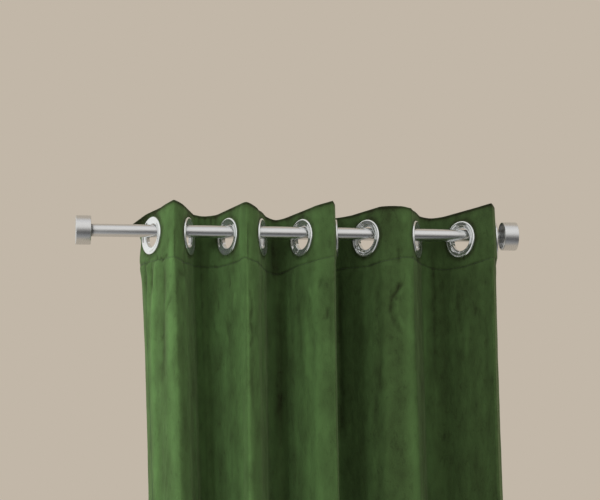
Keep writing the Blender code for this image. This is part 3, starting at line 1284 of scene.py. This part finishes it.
class CURTAIN_OT_stitching(bpy.types.Operator):
    """Sews the heading's seam and the hems with short stitches"""

    bl_idname = "curtain.stitching"
    bl_label = "Stitching"

    # In millimetres: how far inside the cloth's edges a line of stitches ends, and how high the
    # thread's middle lies on the pile
    END_MARGIN = 4.0
    LIFT = 0.1

    # The thread's radius in metres, its share of a stitch before the gap, and how much of it
    # lies flat and how much dives at each end
    THREAD_RADIUS = 0.00035
    THREAD_SHARE = 0.8
    FLAT_SHARE = 0.7
    DIVE_SHARE = 0.15

    def execute(self, context):
        cloth = context.scene.curtain_cloth
        hung = hang_cloth()
        material = thread_material(cloth)
        pattern = self.one_stitch(cloth, material)
        width = hung.across[-1]
        ends = (self.END_MARGIN, width - self.END_MARGIN)
        top, bottom = self.END_MARGIN, DROP - self.END_MARGIN
        seam_places = [ends[0], *(row.across for row in SEAM[1:-1]), ends[1]]
        hem_depth = DROP - BOTTOM_HEM
        seams = {
            "heading_stitching": [[(place, seam_depth(place)) for place in seam_places]],
            "side_hem_stitching": [[(hem, top), (hem, bottom)] for hem in (SIDE_HEM, width - SIDE_HEM)],
            "bottom_hem_stitching": [[(place, hem_depth) for place in ends]],
        }
        for name, lines in seams.items():
            sewn = bmesh.new()
            for line in lines:
                for start, finish in zip(line, line[1:]):
                    self.sew(sewn, pattern, hung, cloth, start, finish)
            mesh = bpy.data.meshes.new(name)
            sewn.to_mesh(mesh)
            sewn.free()
            mesh.materials.append(material)
            mesh.shade_smooth()
            piece = bpy.data.objects.new(name, mesh)
            context.scene.collection.objects.link(piece)
            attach(piece, "root")
        bpy.data.objects.remove(pattern)
        return {"FINISHED"}

    def one_stitch(self, cloth, material):
        """One stitch along X: a short length of thread whose ends dive into the cloth."""
        length = cloth.stitch * self.THREAD_SHARE
        piece = begin(
            "stitch",
            bpy.ops.mesh.primitive_cylinder_add,
            vertices=6,
            radius=self.THREAD_RADIUS,
            depth=length * self.FLAT_SHARE,
            rotation=(0.0, pi / 2, 0.0),
        )
        for side in (-1, 1):
            select_faces(piece, lambda middle, normal, side=side: normal.x * side > 0.9)
            dive = (side * length * self.DIVE_SHARE, 0.0, -self.THREAD_RADIUS)
            bpy.ops.mesh.extrude_region_move(TRANSFORM_OT_translate={"value": dive})
            bpy.ops.transform.resize(value=(1.0, 0.6, 0.6))
        end(piece, material)
        return piece

    def sew(self, sewn, pattern, hung, cloth, start, finish):
        """Lays stitches from start to finish on the flat cloth, carried to where it hangs."""
        start, finish = Vector(start), Vector(finish)
        middles = [Vector((ring.across, ring.depth)) for ring in hung.rings]
        count = int((finish - start).length * MM / cloth.stitch)
        for step in range(count):
            here = start.lerp(finish, (step + 0.5) / count)
            ahead = start.lerp(finish, (step + 0.9) / count)
            if any((here - middle).length < STITCH_CLEAR for middle in middles):
                continue
            place, out = self.on_cloth(hung, here)
            next_place, _ = self.on_cloth(hung, ahead)
            along = (next_place - place).normalized()
            aside = out.cross(along).normalized()
            turned = Matrix((along, aside, along.cross(aside))).transposed().to_4x4()
            surface = place + out * (cloth.thickness / 2 / MM + self.LIFT)
            placing = Matrix.Translation(surface * MM) @ turned
            first = len(sewn.verts)
            sewn.from_mesh(pattern.data)
            sewn.verts.ensure_lookup_table()
            bmesh.ops.transform(sewn, matrix=placing, verts=sewn.verts[first:])

    def on_cloth(self, hung, spot):
        """The place and the outward direction of the hung cloth at a spot on the flat cloth."""
        column = np.interp(spot.x, hung.across, np.arange(len(hung.across)))
        row = np.interp(spot.y, hung.depth, np.arange(len(hung.depth)))
        left, upper = min(int(column), len(hung.across) - 2), min(int(row), len(hung.depth) - 2)
        right_share, lower_share = column - left, row - upper
        found = []
        for field in (hung.place, hung.front):
            above = field[upper, left] * (1 - right_share) + field[upper, left + 1] * right_share
            below = field[upper + 1, left] * (1 - right_share) + field[upper + 1, left + 1] * right_share
            found.append(Vector(above * (1 - lower_share) + below * lower_share))
        return found[0], found[1].normalized()


class CURTAIN_OT_eyelets(bpy.types.Operator):
    """Presses the ten chrome eyelets: dished front rings and flat back rings"""

    bl_idname = "curtain.eyelets"
    bl_label = "Eyelets"

    # Radius and height above the middle of the cloth, from the neck's back end round to its start
    FRONT_PROFILE = (
        (20.0, -4.7),
        (20.0, -1.0),
        (20.0, 0.4),
        (20.3, 1.3),
        (21.0, 2.0),
        (22.0, 2.35),
        (23.0, 2.4),
        (24.6, 2.6),
        (26.4, 3.0),
        (28.2, 3.7),
        (29.4, 4.3),
        (30.3, 4.5),
        (31.3, 4.45),
        (32.2, 4.0),
        (32.8, 3.2),
        (33.0, 2.3),
        (32.9, 1.6),
        (32.5, 1.3),
        (24.0, 1.3),
        (21.8, 1.3),
        (21.8, -1.0),
        (21.8, -4.7),
        (21.5, -4.9),
        (20.3, -4.9),
    )
    BACK_PROFILE = (
        (22.2, -1.5),
        (22.4, -1.3),
        (30.9, -1.3),
        (31.4, -1.5),
        (31.5, -1.9),
        (31.4, -2.5),
        (31.0, -3.4),
        (30.3, -4.1),
        (29.4, -4.3),
        (26.0, -4.2),
        (22.8, -4.3),
        (22.3, -4.1),
        (22.2, -3.8),
    )

    def execute(self, context):
        metal = context.scene.curtain_metal
        chrome = chrome_material("chrome plate, polished", metal.chrome, 0.03, 0.09)
        dull = chrome_material("chrome plate, barrel finished", metal.chrome_back, 0.14, 0.24)
        kinds = (
            ("eyelet_front", self.FRONT_PROFILE, chrome),
            ("eyelet_back", self.BACK_PROFILE, dull),
        )
        for kind, profile, material in kinds:
            pattern = turned_piece(kind, profile, metal.segments, material)
            for number, ring in enumerate(hang_cloth().rings, start=1):
                piece = copy_piece(pattern, f"{kind}_ring_{number:02d}", ring_placing(ring))
                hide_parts(f"{kind}_{number:02d}")
                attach(piece, "root")
            bpy.data.objects.remove(pattern)
        return {"FINISHED"}


class CURTAIN_OT_rod(bpy.types.Operator):
    """Makes the satin steel tube that the curtain hangs on"""

    bl_idname = "curtain.rod"
    bl_label = "Rod"

    # The tube's wall and the rounding of its ends, in metres
    WALL = 0.0012
    END_ROUND = 0.00024

    def execute(self, context):
        metal = context.scene.curtain_metal
        low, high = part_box("rod")
        piece = begin(
            "rod_tube",
            bpy.ops.mesh.primitive_cylinder_add,
            vertices=metal.segments,
            radius=(high.z - low.z) / 2,
            depth=high.x - low.x,
            end_fill_type="NOTHING",
            location=(low + high) / 2,
            rotation=(0.0, pi / 2, 0.0),
        )
        steel = satin_steel_material(
            "stainless steel tube, brushed lengthwise", metal.steel, (0.02, 1.0, 1.0), 0.20, 0.32
        )
        end(piece, steel)
        shell = piece.modifiers.new("wall", "SOLIDIFY")
        shell.thickness = self.WALL
        shell.offset = -1.0
        soft = piece.modifiers.new("end_edges", "BEVEL")
        soft.width = self.END_ROUND
        soft.segments = 2
        for modifier in (shell, soft):
            bpy.ops.object.modifier_apply(modifier=modifier.name)
        bpy.ops.object.shade_smooth_by_angle(angle=SMOOTH_ANGLE)
        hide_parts("rod")
        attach(piece, "root")
        return {"FINISHED"}


class CURTAIN_OT_end_caps(bpy.types.Operator):
    """Makes the plain round caps on the rod's two ends"""

    bl_idname = "curtain.end_caps"
    bl_label = "End caps"

    # In metres: the rounded edge, the rim and recess of the inner face, and the rod's bore
    ROUND_EDGE = 0.0015
    RIM = 0.0015
    RECESS = 0.006
    BORE_RADIUS = 0.0114
    BORE_DEPTH = 0.018

    # Points this close along the rod are at the same place on it
    NEAR = 0.0001

    def execute(self, context):
        metal = context.scene.curtain_metal
        steel = satin_steel_material(
            "steel caps, turned and brushed", metal.steel, (1.0, 0.15, 0.15), 0.24, 0.36
        )
        for name, side in (("end_cap_left", -1), ("end_cap_right", 1)):
            self.make_cap(name, side, metal, steel)
        return {"FINISHED"}

    def make_cap(self, node, side, metal, steel):
        """A disc with a rounded edge, and on its inner face a rim, a recess and the rod's bore."""
        low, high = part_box(node)
        radius = (high.z - low.z) / 2
        piece = begin(
            f"{node}_turned",
            bpy.ops.mesh.primitive_cylinder_add,
            vertices=metal.segments,
            radius=radius,
            depth=high.x - low.x,
            location=(low + high) / 2,
            rotation=(0.0, pi / 2, 0.0),
        )
        select_edges(piece, lambda one, other: abs(one.x - other.x) < self.NEAR)
        bpy.ops.mesh.bevel(offset=self.ROUND_EDGE, segments=5)
        bpy.ops.mesh.select_mode(type="FACE")
        select_faces(piece, lambda middle, normal: normal.x * side < -0.999)
        bpy.ops.mesh.inset(thickness=self.RIM)
        self.sink(side * self.RECESS)
        bpy.ops.mesh.inset(thickness=radius - self.ROUND_EDGE - self.RIM - self.BORE_RADIUS)
        self.sink(side * (self.BORE_DEPTH - self.RECESS))
        end(piece, steel)
        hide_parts(node)
        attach(piece, "root")

    def sink(self, distance):
        """Extrudes the selected face this far along the rod."""
        bpy.ops.mesh.extrude_region_move(TRANSFORM_OT_translate={"value": (distance, 0.0, 0.0)})


class CURTAIN_OT_stage(bpy.types.Operator):
    """Sets the pale floor, the soft lights, the plain surroundings and the camera"""

    bl_idname = "curtain.stage"
    bl_label = "Stage"

    # The camera's place, its turn to the right, its upward tilt and its roll in degrees, and its lens
    EYE = (-0.4365, -2.7513, -0.7245)
    TURN_RIGHT = 9.0
    TILT_UP = 14.0
    ROLL = 1.4
    LENS = 99.3

    # The lights' width and height, and their cool white
    LIGHT_SIZE = (0.35, 0.9)
    LIGHT_COLOUR = "#EFFDF8"

    # The room's tone in front of the curtain, from straight down to straight up
    ROOM_TONES = (
        (0.0, "#A4A5A7"),
        (0.10, "#8C8D8F"),
        (0.17, "#5C5C5E"),
        (0.29, "#5E5D5C"),
        (0.44, "#B0AEAB"),
        (0.56, "#F0EEEC"),
        (0.82, "#F8F6F4"),
        (1.0, "#DDDDE0"),
    )

    def execute(self, context):
        room = context.scene.curtain_room
        self.lay_floor(room)
        self.set_lights(room)
        self.set_surroundings(context.scene, room)
        self.set_camera(context.scene)
        return {"FINISHED"}

    def lay_floor(self, room):
        """A plain painted floor under the curtain."""
        piece = begin(
            "floor",
            bpy.ops.mesh.primitive_plane_add,
            size=12.0,
            location=(0.0, 0.0, -room.rod_height),
        )
        material, tree, shader = new_material("floor paint, matt", (("Roughness", 0.85),))
        place = add_node(tree, "ShaderNodeTexCoord")
        # Roller marks about 0.4 m across
        marks = add_node(
            tree,
            "ShaderNodeTexNoise",
            (("Scale", 2.5), ("Detail", 2.0)),
            (("Vector", place.outputs["Object"]),),
        )
        tint = add_node(
            tree,
            "ShaderNodeMix",
            (("data_type", "RGBA"), (6, room.floor), (7, from_hex("#D6D3CD"))),
            ((0, marks.outputs["Fac"]),),
        )
        tree.links.new(tint.outputs[2], shader.inputs["Base Color"])
        end(piece, material)
        piece.visible_glossy = False

    def set_lights(self, room):
        """Two tall soft lights in front, each with its name, place, aim, power and spread."""
        lights = (
            ("left_light", (-0.95, -0.95, 0.1), (-0.5, 0.0, -0.2), room.left_power, 50.0),
            ("right_light", (0.75, -0.95, 0.1), (-0.62, 0.0, -0.2), room.right_power, 56.0),
        )
        for name, place, aim, power, spread in lights:
            bpy.ops.object.light_add(type="AREA", location=place)
            lamp = bpy.context.object
            lamp.name = name
            lamp.rotation_euler = (Vector(aim) - Vector(place)).to_track_quat("-Z", "Y").to_euler()
            lamp.data.shape = "RECTANGLE"
            lamp.data.size, lamp.data.size_y = self.LIGHT_SIZE
            lamp.data.energy = power
            lamp.data.spread = radians(spread)
            lamp.data.color = from_hex(self.LIGHT_COLOUR)[:3]
            lamp.visible_camera = False
            lamp.visible_glossy = False

    def set_surroundings(self, scene, room):
        """A plain tone behind, and in front a soft room: light above, darker below."""
        world = bpy.data.worlds.new("plain surroundings")
        scene.world = world
        world.use_nodes = True
        tree = world.node_tree
        way = add_node(tree, "ShaderNodeTexCoord")
        parts = add_node(tree, "ShaderNodeSeparateXYZ", (), (("Vector", way.outputs["Generated"]),))
        in_front = add_node(
            tree,
            "ShaderNodeMapRange",
            (("From Min", 0.05), ("From Max", -0.35)),
            (("Value", parts.outputs["Y"]),),
        )
        upward = add_node(
            tree,
            "ShaderNodeMapRange",
            (("From Min", -1.0), ("From Max", 1.0)),
            (("Value", parts.outputs["Z"]),),
        )
        tones = add_node(tree, "ShaderNodeValToRGB", (), (("Fac", upward.outputs["Result"]),))
        ramp = tones.color_ramp
        while len(ramp.elements) < len(self.ROOM_TONES):
            ramp.elements.new(0.5)
        for stop, (place, colour) in zip(ramp.elements, self.ROOM_TONES):
            stop.position = place
            stop.color = from_hex(colour)
        around = add_node(
            tree,
            "ShaderNodeMix",
            (("data_type", "RGBA"), (6, room.air)),
            ((0, in_front.outputs["Result"]), (7, tones.outputs["Color"])),
        )
        # Lighter towards the left
        left_side = add_node(
            tree,
            "ShaderNodeMapRange",
            (("From Min", -0.25), ("From Max", -0.6)),
            (("Value", parts.outputs["X"]),),
        )
        around = add_node(
            tree,
            "ShaderNodeMix",
            (("data_type", "RGBA"), (7, from_hex("#F2F2F0"))),
            ((0, left_side.outputs["Result"]), (6, around.outputs[2])),
        )
        background = tree.nodes["Background"]
        tree.links.new(around.outputs[2], background.inputs["Color"])
        scene.view_settings.view_transform = "Standard"

    def set_camera(self, scene):
        """The camera below the rod, which looks up and to the right."""
        turn, tilt, roll = radians(self.TURN_RIGHT), radians(self.TILT_UP), radians(self.ROLL)
        forward = Vector((sin(turn) * cos(tilt), cos(turn) * cos(tilt), sin(tilt)))
        level_right = Vector((cos(turn), -sin(turn), 0.0))
        level_up = level_right.cross(forward)
        right = cos(roll) * level_right - sin(roll) * level_up
        up = cos(roll) * level_up + sin(roll) * level_right
        bpy.ops.object.camera_add()
        camera = bpy.context.object
        camera.name = "front_camera"
        camera.data.lens = self.LENS
        looking = Matrix((right, up, -forward)).transposed().to_4x4()
        camera.matrix_world = Matrix.Translation(self.EYE) @ looking
        scene.camera = camera


class CURTAIN_PT_pieces(bpy.types.Panel):
    """Lists the curtain's pieces and their settings"""

    bl_label = "Velvet curtain"
    bl_space_type = "VIEW_3D"
    bl_region_type = "UI"
    bl_category = "Curtain"

    def draw(self, context):
        scene = context.scene
        for settings in (scene.curtain_cloth, scene.curtain_metal, scene.curtain_room):
            box = self.layout.box()
            for name in settings.__annotations__:
                box.prop(settings, name)
        for operator in OPERATORS:
            self.layout.operator(operator.bl_idname)


OPERATORS = (
    CURTAIN_OT_stage,
    CURTAIN_OT_velvet,
    CURTAIN_OT_stitching,
    CURTAIN_OT_eyelets,
    CURTAIN_OT_rod,
    CURTAIN_OT_end_caps,
)
SETTINGS = {
    "curtain_cloth": CurtainCloth,
    "curtain_metal": CurtainMetal,
    "curtain_room": CurtainRoom,
}


def register():
    """Adds the settings, the operators and the panel."""
    for made in (*SETTINGS.values(), *OPERATORS, CURTAIN_PT_pieces):
        bpy.utils.register_class(made)
    for name, group in SETTINGS.items():
        setattr(bpy.types.Scene, name, bpy.props.PointerProperty(type=group))


def unregister():
    """Takes them away again."""
    for name in SETTINGS:
        delattr(bpy.types.Scene, name)
    for made in reversed((*SETTINGS.values(), *OPERATORS, CURTAIN_PT_pieces)):
        bpy.utils.unregister_class(made)


def main():
    """Makes the whole curtain."""
    register()
    bpy.ops.curtain.stage()
    bpy.ops.curtain.velvet()
    bpy.ops.curtain.stitching()
    bpy.ops.curtain.eyelets()
    bpy.ops.curtain.rod()
    bpy.ops.curtain.end_caps()


if __name__ == "__main__":
    main()
